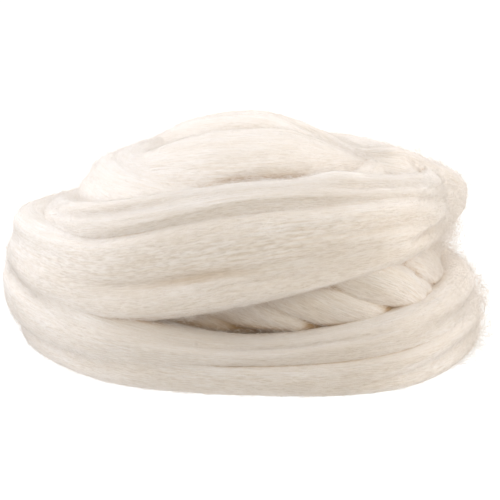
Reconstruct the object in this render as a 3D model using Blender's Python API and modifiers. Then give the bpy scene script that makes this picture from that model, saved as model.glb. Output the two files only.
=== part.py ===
"""Wool roving: one long combed sliver of fibre, wound loosely into a low oval coil.

The sliver starts in the middle of the underside, winds outwards over the table, climbs in
seven turns and crosses itself in a crown on top. Tables give its wide, flattened section
along the route. The turns press into each other, so the winding is one soft solid, cut flat
where it lies on the table.
Run with: blender --background --python part.py
"""

import math
from collections import namedtuple

import bmesh
import bpy
import numpy as np

MM = 0.001  # the tables are in millimetres, the scene in metres

# The sliver's section is a rounded oblong: powers below 1 make an ellipse fuller.
FULLNESS_ACROSS = 0.92
FULLNESS_THROUGH = 0.80

# Folds fade out at both ends, and twisted strands meet in narrow creases.
FADE_POWER = 0.8
CREASE_POWER = 0.6
CREASE_SHARE = 0.65  # how much of a twist's depth goes into its creases

# Inside the turns, in millimetres
CORE_HALF_SIZES = (86.0, 69.0, 46.0)  # loose inner fibre that closes the space between turns
CORE_HEIGHT = 53.0

# Fineness of the solid
SECTION_POINTS = 36
SECTION_STEP = 4.0
SPAN_SAMPLES = 24
VOXEL = 2.2
TRIANGLES = 9600
CORE_SEGMENTS = 32
TABLE_SIZE = 0.4  # metres, wider than the coil

WOOL_COLOUR = (0.86, 0.80, 0.71, 1.0)
WOOL_ROUGHNESS = 0.95

# Bearings in the order of travel, in degrees from the front, counter-clockwise from above
BEARINGS = {
    "back": 180,
    "back_left": 225,
    "left": 270,
    "front_left": 315,
    "front": 360,
    "front_right": 405,
    "right": 450,
    "back_right": 495,
}

# One value for each bearing. Lean is the tilt of the flat face upwards, in degrees.
Turn = namedtuple("Turn", "radius height width thickness lean")

TURNS = {
    "eye": Turn(
        radius=(5, 9, 13, 16, 19, 23, 28, 32),
        height=(12, 11, 11, 11, 11, 11, 11, 11),
        width=(10, 16, 22, 24, 25, 25, 25, 25),
        thickness=(8, 12, 16, 20, 24, 26, 26, 26),
        lean=(0, 0, 0, 0, 0, 0, 0, 0),
    ),
    "nest": Turn(
        radius=(38, 44, 49, 50, 50, 58, 66, 72),
        height=(11, 11, 12, 12, 12, 12, 12, 12),
        width=(25, 25, 27, 27, 27, 27, 27, 27),
        thickness=(26, 28, 28, 28, 28, 28, 28, 26),
        lean=(0, 0, 0, 0, 0, 0, 0, 0),
    ),
    "floor": Turn(
        radius=(79, 90, 100, 89.5, 82, 102.5, 107, 94),
        height=(13, 13, 13, 13.5, 10.4, 12.2, 13, 13),
        width=(29, 29, 29, 27, 21, 27, 29, 29),
        thickness=(26, 26, 26, 26, 26, 26, 26, 26),
        lean=(0, 0, -8, -4, 0, -6, -6, 0),
    ),
    "heart": Turn(
        radius=(64, 70, 80, 72, 65, 88, 88, 80),
        height=(26, 29, 34, 36, 35, 43, 43, 44),
        width=(34, 34, 34, 30, 27, 36, 33, 32),
        thickness=(24, 24, 24, 24, 24, 26, 26, 26),
        lean=(0, 0, 0, 5, 10, 10, 10, 5),
    ),
    "belt": Turn(
        radius=(80, 95, 107.5, 93.5, 82, 101, 106.5, 94),
        height=(42, 36, 34, 25, 19, 25, 25, 30),
        width=(36, 38, 46, 29, 17, 23, 29, 32),
        thickness=(24, 24, 24, 24, 24, 24, 24, 24),
        lean=(0, 0, 0, 6, 6, 4, 4, 0),
    ),
    "wide": Turn(
        radius=(80, 94, 104, 93.5, 84, 92, 90, 84),
        height=(50, 48, 52.5, 50.8, 64.6, 72, 65.5, 68),
        width=(34, 34, 32.5, 39.5, 46.5, 35, 22, 30),
        thickness=(24, 24, 24, 24, 24, 24, 24, 24),
        lean=(10, 8, 6, 12, 14, 10, 4, 4),
    ),
    "lip": Turn(
        radius=(72, 78, 88, 85.5, 76, 84, 91, 83),
        height=(64, 58, 61, 73.4, 86.7, 86.4, 77, 74),
        width=(26, 24, 22, 21.5, 18.5, 18, 17, 26),
        thickness=(20, 20, 20, 20, 20, 20, 20, 20),
        lean=(30, 26, 20, 30, 46, 46, 22, 28),
    ),
    "shoulder": Turn(
        radius=(56, 62, 66, 64, 56, 62, 74, 70),
        height=(72, 75.5, 77.5, 76, 72, 76, 81, 79.5),
        width=(32, 32, 32, 31, 30, 30, 30, 32),
        thickness=(24, 24, 24, 24, 24, 24, 24, 24),
        lean=(40, 38, 34, 36, 40, 40, 40, 40),
    ),
    "collar": Turn(
        radius=(46, 50, 57, 58, 52, 52, 52, 46),
        height=(82, 82.5, 83, 81, 80, 80, 81, 82),
        width=(26, 27, 28, 28, 28, 27, 26, 26),
        thickness=(22, 22, 22, 22, 22, 22, 22, 22),
        lean=(50, 45, 50, 45, 50, 45, 40, 45),
    ),
}

# The crown lies across the top, over the collar, and its end tucks in behind.
Section = namedtuple("Section", "x y z width thickness lean")

CROWN = [
    Section(0, 34, 88, 28, 22, 60),
    Section(-30, 22, 88, 28, 22, 60),
    Section(-46, 0, 88, 26, 20, 50),
    Section(-46, -22, 89, 22, 18, 50),
    Section(-26, -36, 94, 34, 22, 55),
    Section(0, -41, 97, 38, 24, 56),
    Section(26, -38, 96.6, 36, 24, 56),
    Section(52, -24, 94, 13, 11, 52),
    Section(62, 1, 80, 20, 16, 42),
    Section(48, 31, 83.5, 28, 22, 52),
    Section(8, 36, 90, 30, 22, 62),
    Section(-32, 25, 90, 30, 22, 65),
    Section(-20, 8, 97, 34, 24, 72),
    Section(10, 2, 100, 38, 24, 75),
    Section(40, -6, 92, 28, 22, 65),
    Section(57, -14, 92.5, 15, 13, 58),
    Section(73, -15, 87, 27, 21, 48),
    Section(91, 10, 74.5, 28, 21, 35),
    Section(107.5, 38, 60.5, 24, 22, 15),
    Section(92, 60, 50, 28, 22, 5),
    Section(50, 78, 48, 30, 20, 5),
    Section(0, 87.5, 54, 28, 18, 5),
    Section(-36, 82, 59, 14, 11, 5),
    Section(-52, 72, 62, 6, 5, 5),
]

# Folds run along the sliver. Place is across its outer face, -1 the lower edge and 1 the upper.
# Starts and ends are bearings on a turn, or section numbers on the crown.
Fold = namedtuple("Fold", "turn start end place_start place_end depth spread")

FOLDS = [
    Fold("wide", 275, 440, 0.90, 0.90, 1.6, 3.6),
    Fold("belt", 240, 330, 0.88, 0.88, 3.6, 3.6),
    Fold("floor", 290, 440, 0.85, 0.85, 3.0, 3.0),
    Fold("wide", 300, 400, -0.35, -0.25, 3.0, 6.4),
    Fold("wide", 296, 408, -0.62, -0.55, 3.8, 9.0),
    Fold("wide", 372, 425, 0.25, 0.00, 3.0, 3.0),
    Fold("wide", 408, 442, -0.50, -0.30, 4.0, 2.6),
    Fold("wide", 344, 396, -0.80, -0.78, 2.6, 2.4),
    Fold("wide", 190, 270, 0.10, 0.20, 4.0, 4.0),
    Fold("wide", 440, 520, 0.00, 0.10, 3.4, 3.6),
    Fold("belt", 262, 318, 0.35, 0.10, 3.4, 3.6),
    Fold("belt", 330, 400, 0.30, 0.35, 2.4, 2.4),
    Fold("belt", 405, 480, 0.05, -0.10, 3.6, 3.6),
    Fold("belt", 180, 250, 0.15, 0.00, 4.0, 4.0),
    Fold("floor", 380, 455, -0.35, 0.10, 3.6, 3.6),
    Fold("floor", 262, 330, 0.00, -0.20, 3.0, 3.6),
    Fold("floor", 470, 540, 0.00, 0.00, 3.4, 4.0),
    Fold("lip", 290, 350, 0.10, 0.30, 2.6, 3.0),
    Fold("lip", 385, 440, -0.10, 0.10, 2.6, 3.0),
    Fold("lip", 180, 250, 0.00, 0.00, 3.0, 3.0),
    Fold("lip", 465, 540, 0.10, 0.00, 3.0, 3.4),
    Fold("shoulder", 238, 300, 0.10, -0.10, 1.6, 3.4),
    Fold("shoulder", 440, 520, 0.00, 0.00, 3.4, 3.4),
    Fold("crown", 9, 11, 0.00, 0.00, 3.0, 3.6),
    Fold("crown", 12, 15, -0.45, -0.25, 2.6, 2.6),
    Fold("crown", 13, 16, 0.35, 0.20, 3.0, 2.6),
    Fold("crown", 16, 18, 0.00, 0.20, 3.6, 3.6),
    Fold("crown", 19, 21, 0.00, 0.00, 3.4, 4.0),
]

# Where the sliver was turned about itself, its strands wind round each other.
Twist = namedtuple("Twist", "turn start end strands pitch depth phase")

TWISTS = [
    Twist("heart", 345, 480, 4, 140.0, 1.9, 0.0),
]


def clear_scene():
    """Removes what a new Blender scene holds."""
    for old in list(bpy.data.objects):
        bpy.data.objects.remove(old, do_unlink=True)


def new_collection(name):
    made = bpy.data.collections.new(name)
    bpy.context.scene.collection.children.link(made)
    return made


def route_sections():
    """Every section of the sliver in order, one row each, in millimetres and degrees."""
    rows = []
    for turn in TURNS.values():
        for place, bearing in enumerate(BEARINGS.values()):
            angle = math.radians(bearing)
            x = turn.radius[place] * math.sin(angle)
            y = -turn.radius[place] * math.cos(angle)
            sizes = (turn.width[place], turn.thickness[place], turn.lean[place])
            rows.append((x, y, turn.height[place]) + sizes)
    rows.extend(CROWN)
    return np.array(rows, dtype=float)


def station(turn, at):
    """Number of the section at a bearing of a turn, or at a section of the crown."""
    names = list(TURNS)
    if turn not in names:
        return len(names) * len(BEARINGS) + at
    first, second = list(BEARINGS.values())[:2]
    return names.index(turn) * len(BEARINGS) + (at - first) / (second - first)


def smooth_rows(rows):
    """Catmull-Rom curve through every row, with the section number as a last column."""
    padded = np.vstack([2 * rows[0] - rows[1], rows, 2 * rows[-1] - rows[-2]])
    t = np.linspace(0, 1, SPAN_SAMPLES, endpoint=False)[:, None]
    spans = []
    for i in range(1, len(padded) - 2):
        before, start, end, after = padded[i - 1 : i + 3]
        bend = 2 * before - 5 * start + 4 * end - after
        twist = 3 * start - before - 3 * end + after
        span = start + 0.5 * ((end - before) * t + bend * t**2 + twist * t**3)
        spans.append(np.hstack([span, i - 1 + t]))
    last = np.append(rows[-1], len(rows) - 1)
    return np.vstack(spans + [last])


def even_rows(rows, step):
    """The same curve at even steps, and the length along it."""
    pieces = np.linalg.norm(np.diff(rows[:, :3], axis=0), axis=1)
    along = np.concatenate([[0], np.cumsum(pieces)])
    count = int(round(along[-1] / step)) + 1
    wanted = np.linspace(0, along[-1], count)
    columns = [np.interp(wanted, along, column) for column in rows.T]
    return np.stack(columns, axis=1), wanted


def section_axes(points, lean):
    """Directions out of the sliver's flat face and up across it."""
    ahead = np.gradient(points, axis=0)
    ahead /= np.linalg.norm(ahead, axis=1)[:, None]
    outward = np.cross(ahead, (0.0, 0.0, 1.0))
    outward /= np.linalg.norm(outward, axis=1)[:, None]
    upward = np.cross(outward, ahead)
    tilt = np.radians(lean)[:, None]
    face = np.cos(tilt) * outward + np.sin(tilt) * upward
    across = np.cos(tilt) * upward - np.sin(tilt) * outward
    return face, across


def fade(stations, start, end):
    """1 between two sections, falling softly to 0 at both."""
    share = np.clip((stations - start) / (end - start), 0, 1)
    return np.sin(np.pi * share) ** FADE_POWER


def fold_relief(stations, widths, around):
    """Depth of every fold over the sliver, section by section and point by point."""
    relief = np.zeros((len(stations), len(around)))
    across = np.cos(around)[None, :]
    outer_face = (np.sin(around) > 0)[None, :]
    for fold in FOLDS:
        start = station(fold.turn, fold.start)
        end = station(fold.turn, fold.end)
        place = np.interp(stations, (start, end), (fold.place_start, fold.place_end))
        away = (across - place[:, None]) * widths[:, None] / 2
        trough = np.exp(-((away / fold.spread) ** 2)) * outer_face
        relief -= fold.depth * fade(stations, start, end)[:, None] * trough
    return relief


def twist_relief(stations, along, around):
    """Strands of the sliver winding round each other, with a crease between each two."""
    relief = np.zeros((len(stations), len(around)))
    for twist in TWISTS:
        start = station(twist.turn, twist.start)
        end = station(twist.turn, twist.end)
        begun = np.interp(start, stations, along)
        turned = 2 * np.pi * (along - begun) / twist.pitch + math.radians(twist.phase)
        away = (around[None, :] - turned[:, None]) * twist.strands / 2
        lobes = np.abs(np.sin(away)) ** CREASE_POWER
        depth = 2 * twist.depth * fade(stations, start, end)
        relief += depth[:, None] * (lobes - CREASE_SHARE)
    return relief


def winding_points():
    """Points of the whole sliver, a ring for each step along the route."""
    rows, along = even_rows(smooth_rows(route_sections()), SECTION_STEP)
    points, widths, thicknesses = rows[:, :3], rows[:, 3], rows[:, 4]
    face, across = section_axes(points, rows[:, 5])
    stations = rows[:, 6]
    around = np.linspace(0, 2 * np.pi, SECTION_POINTS, endpoint=False)
    cos, sin = np.cos(around), np.sin(around)
    wide = np.sign(cos) * np.abs(cos) ** FULLNESS_ACROSS
    flat = np.sign(sin) * np.abs(sin) ** FULLNESS_THROUGH
    relief = fold_relief(stations, widths, around)
    relief += twist_relief(stations, along, around)
    up = widths[:, None] / 2 * wide + relief * cos
    out = thicknesses[:, None] / 2 * flat + relief * sin
    return points[:, None] + across[:, None] * up[..., None] + face[:, None] * out[..., None]


def loft(name, rings):
    """Closed tube through rings of points, with flat ends."""
    count, size = rings.shape[:2]
    shape = bmesh.new()
    points = [shape.verts.new(point) for point in (rings.reshape(-1, 3) * MM).tolist()]
    for ring in range(count - 1):
        for i in range(size):
            first, second = ring * size + i, ring * size + (i + 1) % size
            shape.faces.new([points[k] for k in (first, first + size, second + size, second)])
    shape.faces.new(points[:size])
    shape.faces.new(reversed(points[-size:]))
    mesh = bpy.data.meshes.new(name)
    shape.to_mesh(mesh)
    shape.free()
    return mesh


def add_core(mesh):
    """Adds the ellipsoid of loose fibre inside the turns to the mesh of the winding."""
    shape = bmesh.new()
    shape.from_mesh(mesh)
    rings = CORE_SEGMENTS // 2
    made = bmesh.ops.create_uvsphere(
        shape, u_segments=CORE_SEGMENTS, v_segments=rings, radius=MM
    )
    bmesh.ops.scale(shape, vec=CORE_HALF_SIZES, verts=made["verts"])
    bmesh.ops.translate(shape, vec=(0, 0, CORE_HEIGHT * MM), verts=made["verts"])
    shape.to_mesh(mesh)
    shape.free()


def outer_skin(mesh):
    """Keeps the largest closed skin of the mesh, so no space is sealed inside."""
    shape = bmesh.new()
    shape.from_mesh(mesh)
    unseen = set(shape.verts)
    skins = []
    while unseen:
        skin, edge_of_skin = set(), [unseen.pop()]
        while edge_of_skin:
            point = edge_of_skin.pop()
            skin.add(point)
            near = {edge.other_vert(point) for edge in point.link_edges} & unseen
            unseen -= near
            edge_of_skin.extend(near)
        skins.append(skin)
    largest = max(skins, key=len)
    lost = [point for point in shape.verts if point not in largest]
    bmesh.ops.delete(shape, geom=lost, context="VERTS")
    shape.to_mesh(mesh)
    shape.free()


def evaluated_copy(source, name):
    """A new mesh of the object with its modifiers worked in."""
    graph = bpy.context.evaluated_depsgraph_get()
    mesh = bpy.data.meshes.new_from_object(source.evaluated_get(graph))
    mesh.name = name
    return mesh


def wool():
    """Plain cream wool."""
    material = bpy.data.materials.new("cream_wool")
    material.use_nodes = True
    shader = material.node_tree.nodes["Principled BSDF"]
    shader.inputs["Base Color"].default_value = WOOL_COLOUR
    shader.inputs["Roughness"].default_value = WOOL_ROUGHNESS
    shader.inputs["Metallic"].default_value = 0.0
    material.diffuse_color = WOOL_COLOUR
    return material


def floor_cutter(collection):
    """A block below the table top, which presses the bottom of the coil flat."""
    bpy.ops.mesh.primitive_cube_add(size=TABLE_SIZE, location=(0, 0, -TABLE_SIZE / 2))
    cutter = bpy.context.object
    cutter.name = "table_cutter"
    cutter.hide_render = True
    cutter.display_type = "WIRE"
    for old in list(cutter.users_collection):
        old.objects.unlink(cutter)
    collection.objects.link(cutter)
    return cutter


def roving(collection, cutter):
    """The wound coil as one soft solid."""
    mesh = loft("winding", winding_points())
    add_core(mesh)
    winding = bpy.data.objects.new("winding", mesh)
    collection.objects.link(winding)
    remesh = winding.modifiers.new("press_together", "REMESH")
    remesh.mode = "VOXEL"
    remesh.voxel_size = VOXEL * MM
    skin = evaluated_copy(winding, "roving")
    bpy.data.objects.remove(winding, do_unlink=True)
    outer_skin(skin)
    coil = bpy.data.objects.new("roving", skin)
    collection.objects.link(coil)
    skin.materials.clear()
    skin.materials.append(wool())
    skin.shade_smooth()
    lighten = coil.modifiers.new("lighten", "DECIMATE")
    lighten.ratio = TRIANGLES / (2 * len(skin.polygons))
    cut = coil.modifiers.new("lie_flat", "BOOLEAN")
    cut.operation = "DIFFERENCE"
    cut.object = cutter
    return coil


def main():
    clear_scene()
    parts = new_collection("wool_roving")
    cutters = new_collection("cutters")
    roving(parts, floor_cutter(cutters))


main()
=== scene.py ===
"""Wool roving: a soft, combed sliver of cream wool, wound loosely into a low oval coil.

The sliver is one long band. It winds outwards over the table, climbs in seven turns and
crosses itself on top. Its fibres run along it, in soft folds and fine streaks, with a haze of
loose ends. The operators make the band, the loose wool inside it, the fibres that lie on it, the
haze round it and the stage.
"""

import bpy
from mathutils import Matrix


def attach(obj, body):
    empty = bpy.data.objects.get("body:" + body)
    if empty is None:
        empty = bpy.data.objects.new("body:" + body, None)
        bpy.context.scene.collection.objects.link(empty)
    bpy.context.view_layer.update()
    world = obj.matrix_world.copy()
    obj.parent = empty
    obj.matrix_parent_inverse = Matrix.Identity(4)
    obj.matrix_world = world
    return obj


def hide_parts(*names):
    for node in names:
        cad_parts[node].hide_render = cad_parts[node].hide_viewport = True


bl_info = {
    "name": "Wool roving",
    "version": (1, 0, 0),
    "blender": (4, 5, 0),
    "location": "View3D > Sidebar > Roving",
    "description": "Winds a coil of combed cream wool, with its fibres, on a plain pale floor",
    "category": "Add Mesh",
}

import math
from collections import namedtuple
from functools import lru_cache

import bpy
import numpy as np
from bpy.props import FloatProperty, FloatVectorProperty, IntProperty, PointerProperty
from mathutils import Vector
from mathutils.bvhtree import BVHTree

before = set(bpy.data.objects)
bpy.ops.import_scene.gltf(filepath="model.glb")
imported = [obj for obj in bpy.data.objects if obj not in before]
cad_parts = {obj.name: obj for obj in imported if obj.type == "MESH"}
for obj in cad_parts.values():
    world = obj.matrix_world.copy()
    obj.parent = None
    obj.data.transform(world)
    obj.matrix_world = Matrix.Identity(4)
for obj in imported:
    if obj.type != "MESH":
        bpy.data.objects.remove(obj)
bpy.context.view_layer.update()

MM = 0.001  # the tables are in millimetres, the scene in metres
BODY = "root"
NODE = "roving"

# The band's section is a rounded oblong: powers below 1 make an ellipse fuller.
FULLNESS_ACROSS = 0.92
FULLNESS_THROUGH = 0.80

# Folds fade out at both ends, and twisted strands meet in narrow creases.
FADE_POWER = 0.8
CREASE_POWER = 0.6
CREASE_SHARE = 0.65  # how much of a twist's depth goes into its creases

# Loose wool inside the turns, which closes the space between them: its half sizes and the height
# of its middle in millimetres, and its share of those sizes
CORE_HALF_SIZES = (86.0, 69.0, 46.0)
CORE_HEIGHT = 53.0
CORE_SHARE = 0.97
CORE_TOP = 0.47 * math.pi  # latitude where it is cut off, above and below
CORE_AROUND = 120  # places round and up
CORE_UP = 40
CORE_SHELTER = 0.60  # how closed in it lies, which paints part of the crease shade on it
CORE_WAVES = 1.2  # height of the soft waves on it, in millimetres
CORE_WAVE_ROWS = 5.0  # places up to a wave
CORE_WAVES_AROUND = 14
CORE_WAVE_SHADING = 0.2  # how much lighter each millimetre of a wave's height paints it: painted light on the crests and painted shade in the hollows

# Samples on the curve between two rows of a table
SPAN_SAMPLES = 60

# Bearings in the order of travel, in degrees from the front, counter-clockwise from above
BEARINGS = {
    "back": 180,
    "back_left": 225,
    "left": 270,
    "front_left": 315,
    "front": 360,
    "front_right": 405,
    "right": 450,
    "back_right": 495,
}

# One value for each bearing. Lean is the tilt of the flat face upwards, in degrees.
Turn = namedtuple("Turn", "radius height width thickness lean")

TURNS = {
    "eye": Turn(
        radius=(5, 9, 13, 16, 19, 23, 28, 32),
        height=(12, 11, 11, 11, 11, 11, 11, 11),
        width=(10, 16, 22, 24, 25, 25, 25, 25),
        thickness=(8, 12, 16, 20, 24, 26, 26, 26),
        lean=(0, 0, 0, 0, 0, 0, 0, 0),
    ),
    "nest": Turn(
        radius=(38, 44, 49, 50, 50, 58, 66, 72),
        height=(11, 11, 12, 12, 12, 12, 12, 12),
        width=(25, 25, 27, 27, 27, 27, 27, 27),
        thickness=(26, 28, 28, 28, 28, 28, 28, 26),
        lean=(0, 0, 0, 0, 0, 0, 0, 0),
    ),
    "floor": Turn(
        radius=(79, 90, 100, 89.5, 82, 102.5, 107, 94),
        height=(13, 13, 13, 13.5, 10.4, 12.2, 13, 13),
        width=(29, 29, 29, 27, 21, 27, 29, 29),
        thickness=(26, 26, 26, 26, 26, 26, 26, 26),
        lean=(0, 0, -8, -4, 0, -6, -6, 0),
    ),
    "heart": Turn(
        radius=(64, 70, 80, 72, 65, 88, 88, 80),
        height=(26, 29, 34, 36, 35, 43, 43, 44),
        width=(34, 34, 34, 30, 27, 36, 33, 32),
        thickness=(24, 24, 24, 24, 24, 26, 26, 26),
        lean=(0, 0, 0, 5, 10, 10, 10, 5),
    ),
    "belt": Turn(
        radius=(80, 95, 107.5, 93.5, 82, 101, 106.5, 94),
        height=(42, 36, 34, 25, 19, 25, 25, 30),
        width=(36, 38, 46, 29, 17, 23, 29, 32),
        thickness=(24, 24, 24, 24, 24, 24, 24, 24),
        lean=(0, 0, 0, 6, 6, 4, 4, 0),
    ),
    "wide": Turn(
        radius=(80, 94, 104, 93.5, 84, 92, 90, 84),
        height=(50, 48, 52.5, 50.8, 64.6, 72, 65.5, 68),
        width=(34, 34, 32.5, 39.5, 46.5, 35, 22, 30),
        thickness=(24, 24, 24, 24, 24, 24, 24, 24),
        lean=(10, 8, 6, 12, 14, 10, 4, 4),
    ),
    "lip": Turn(
        radius=(72, 78, 88, 85.5, 76, 84, 91, 83),
        height=(64, 58, 61, 73.4, 86.7, 86.4, 77, 74),
        width=(26, 24, 22, 21.5, 18.5, 18, 17, 26),
        thickness=(20, 20, 20, 20, 20, 20, 20, 20),
        lean=(30, 26, 20, 30, 46, 46, 22, 28),
    ),
    "shoulder": Turn(
        radius=(56, 62, 66, 64, 56, 62, 74, 70),
        height=(72, 75.5, 77.5, 76, 72, 76, 81, 79.5),
        width=(32, 32, 32, 31, 30, 30, 30, 32),
        thickness=(24, 24, 24, 24, 24, 24, 24, 24),
        lean=(40, 38, 34, 36, 40, 40, 40, 40),
    ),
    "collar": Turn(
        radius=(46, 50, 57, 58, 52, 52, 52, 46),
        height=(82, 82.5, 83, 81, 80, 80, 81, 82),
        width=(26, 27, 28, 28, 28, 27, 26, 26),
        thickness=(22, 22, 22, 22, 22, 22, 22, 22),
        lean=(50, 45, 50, 45, 50, 45, 40, 45),
    ),
}

# The crown lies across the top, over the collar, and its end tucks in behind.
Section = namedtuple("Section", "x y z width thickness lean")

CROWN = [
    Section(0, 34, 88, 28, 22, 60),
    Section(-30, 22, 88, 28, 22, 60),
    Section(-46, 0, 88, 26, 20, 50),
    Section(-46, -22, 89, 22, 18, 50),
    Section(-26, -36, 94, 34, 22, 55),
    Section(0, -41, 97, 38, 24, 56),
    Section(26, -38, 96.6, 36, 24, 56),
    Section(52, -24, 94, 13, 11, 52),
    Section(62, 1, 80, 20, 16, 42),
    Section(48, 31, 83.5, 28, 22, 52),
    Section(8, 36, 90, 30, 22, 62),
    Section(-32, 25, 90, 30, 22, 65),
    Section(-20, 8, 97, 34, 24, 72),
    Section(10, 2, 100, 38, 24, 75),
    Section(40, -6, 92, 28, 22, 65),
    Section(57, -14, 92.5, 15, 13, 58),
    Section(73, -15, 87, 27, 21, 48),
    Section(91, 10, 74.5, 28, 21, 35),
    Section(107.5, 38, 60.5, 24, 22, 15),
    Section(92, 60, 50, 28, 22, 5),
    Section(50, 78, 48, 30, 20, 5),
    Section(0, 87.5, 54, 28, 18, 5),
    Section(-36, 82, 59, 14, 11, 5),
    Section(-52, 72, 62, 6, 5, 5),
]

# Folds run along the sliver. Place is across its outer face, -1 the lower edge and 1 the upper.
# Starts and ends are bearings on a turn, or section numbers on the crown.
Fold = namedtuple("Fold", "turn start end place_start place_end depth spread")

FOLDS = [
    Fold("wide", 275, 440, 0.90, 0.90, 1.6, 3.6),
    Fold("belt", 240, 330, 0.88, 0.88, 3.6, 3.6),
    Fold("floor", 290, 440, 0.85, 0.85, 3.0, 3.0),
    Fold("wide", 300, 400, -0.35, -0.25, 3.0, 6.4),
    Fold("wide", 296, 408, -0.62, -0.55, 3.8, 9.0),
    Fold("wide", 372, 425, 0.25, 0.00, 3.0, 3.0),
    Fold("wide", 408, 442, -0.50, -0.30, 4.0, 2.6),
    Fold("wide", 344, 396, -0.80, -0.78, 2.6, 2.4),
    Fold("wide", 190, 270, 0.10, 0.20, 4.0, 4.0),
    Fold("wide", 440, 520, 0.00, 0.10, 3.4, 3.6),
    Fold("belt", 262, 318, 0.35, 0.10, 3.4, 3.6),
    Fold("belt", 330, 400, 0.30, 0.35, 2.4, 2.4),
    Fold("belt", 405, 480, 0.05, -0.10, 3.6, 3.6),
    Fold("belt", 180, 250, 0.15, 0.00, 4.0, 4.0),
    Fold("floor", 380, 455, -0.35, 0.10, 3.6, 3.6),
    Fold("floor", 262, 330, 0.00, -0.20, 3.0, 3.6),
    Fold("floor", 470, 540, 0.00, 0.00, 3.4, 4.0),
    Fold("lip", 290, 350, 0.10, 0.30, 2.6, 3.0),
    Fold("lip", 385, 440, -0.10, 0.10, 2.6, 3.0),
    Fold("lip", 180, 250, 0.00, 0.00, 3.0, 3.0),
    Fold("lip", 465, 540, 0.10, 0.00, 3.0, 3.4),
    Fold("shoulder", 238, 300, 0.10, -0.10, 1.6, 3.4),
    Fold("shoulder", 440, 520, 0.00, 0.00, 3.4, 3.4),
    Fold("crown", 9, 11, 0.00, 0.00, 3.0, 3.6),
    Fold("crown", 12, 15, -0.45, -0.25, 2.6, 2.6),
    Fold("crown", 13, 16, 0.35, 0.20, 3.0, 2.6),
    Fold("crown", 16, 18, 0.00, 0.20, 3.6, 3.6),
    Fold("crown", 19, 21, 0.00, 0.00, 3.4, 4.0),
]

# Where the sliver was turned about itself, its strands wind round each other.
Twist = namedtuple("Twist", "turn start end strands pitch depth phase")

TWISTS = [
    Twist("heart", 345, 480, 4, 140.0, 1.9, 0.0),
]

# The band is made in runs, each from the start of one turn to the end of another. Thin leaves
# out rings and points where little of the band shows.
Run = namedtuple("Run", "name first last thin")

RUNS = [
    Run("band_inside", "eye", "nest", 3),
    Run("band_floor", "floor", "floor", 1),
    Run("band_waist", "heart", "belt", 1),
    Run("band_wide", "wide", "lip", 1),
    Run("band_neck", "shoulder", "collar", 2),
    Run("band_crown", "crown", "crown", 1),
]

# Soft dents in the band, or swells where the depth is below 0. At is a bearing or a section of the
# crown. Angle is the place round the section, with the upper edge at 0 and the outer face at 90.
# Length and width are half sizes in millimetres, and slant turns the dent, in degrees.
Dent = namedtuple("Dent", "turn at angle length width slant depth")

DENTS = [
    Dent("lip", 392, 20, 16.0, 9.0, 0.0, -3.6),
    Dent("lip", 353, 10, 8.0, 7.0, 0.0, 2.0),
    Dent("lip", 376, 10, 8.0, 7.0, 0.0, 2.2),
    Dent("wide", 343, 106, 56.0, 15.0, 4.0, 1.2),
    Dent("wide", 351, 129, 46.0, 16.0, 4.0, 1.2),
    Dent("wide", 314, 140, 24.0, 8.0, -8.0, 1.3),
    Dent("floor", 366, 36, 50.0, 6.0, 0.0, 1.8),
    Dent("heart", 418, 84, 9.0, 2.6, 70.0, 3.0),
    Dent("crown", 5.74, 155, 14.0, 6.0, 0.0, 2.6),
    Dent("crown", 4.98, 158, 9.0, 5.0, 0.0, 2.2),
]

# Streaks of fibre raise the surface: cells along in millimetres, cells counted around the band,
# depth in millimetres, and how sharp the hollows between them are, from 0 to 1.
Streak = namedtuple("Streak", "along around depth sharp")

STREAKS = [
    Streak(120.0, 7, 0.70, 0.0),
    Streak(60.0, 20, 0.20, 0.1),
    Streak(16.0, 44, 0.06, 0.0),
]

# Locks of fibre are lighter or darker: cells along in millimetres, cells counted around, and how
# much they change the tone, which runs from 0, dark, to 1, light.
Lock = namedtuple("Lock", "along around share")

LOCKS = [
    Lock(34.0, 14, 0.10),
    Lock(14.0, 40, 0.08),
    Lock(6.0, 80, 0.08),
]
FIBRE_TONE = 0.30  # how much a fibre's tone departs from its lock's

# The streaks wander sideways round the band, in degrees.
WANDER_ALONG = 90.0
WANDER_AROUND = 6
WANDER = 12.0
RIPPLE_SPREAD = 0.36  # what a soft lattice of unit draws comes to
SPARE_CELLS = 5  # past the band's end, for the lattice points round its last place
MEAN_HEIGHT = 0.8  # mean size of a unit draw, whichever way it goes
MIDDLE_TONE = 0.5

FLOOR_GAP = 0.15  # millimetres between the lowest fibres and the table

# Fibre layers: how many, how long and how thick, how far they stray from the band's direction in
# degrees, how far their roots and their tips or bows lie off the surface, how much they curl, and
# the stretches of the band that carry them, where nothing means all of it.
Layer = namedtuple("Layer", "name count points long_from long_to thick stray root rise curl spans")

# Where the wool is frayed, and single hairs stand well off it: a turn or the crown, start and end
FRAYED = (("belt", 424, 468), ("floor", 424, 462), ("crown", 16.2, 18.6), ("wide", 420, 452))

LAYERS = [
    Layer("fibres_laid", 6000, 5, 14.0, 30.0, 0.09, 8.0, (0.00, 0.15), (0.00, 0.35), 0.08, ()),
    Layer("fibres_loose", 7000, 4, 8.0, 20.0, 0.09, 20.0, (0.00, 0.30), (0.20, 1.40), 0.25, ()),
    Layer("haze_low", 33000, 3, 3.0, 9.0, 0.11, 30.0, (0.00, 0.20), (0.10, 1.40), 0.40, ()),
    Layer("haze_high", 33000, 3, 5.0, 13.0, 0.09, 45.0, (0.00, 0.30), (0.60, 4.00), 0.60, ()),
    Layer("flyaways", 2600, 6, 9.0, 26.0, 0.07, 40.0, (0.00, 0.50), (2.00, 13.00), 0.90, FRAYED),
]

HAZE_FROM = 2  # first of the layers that stand off the wool as haze

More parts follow.
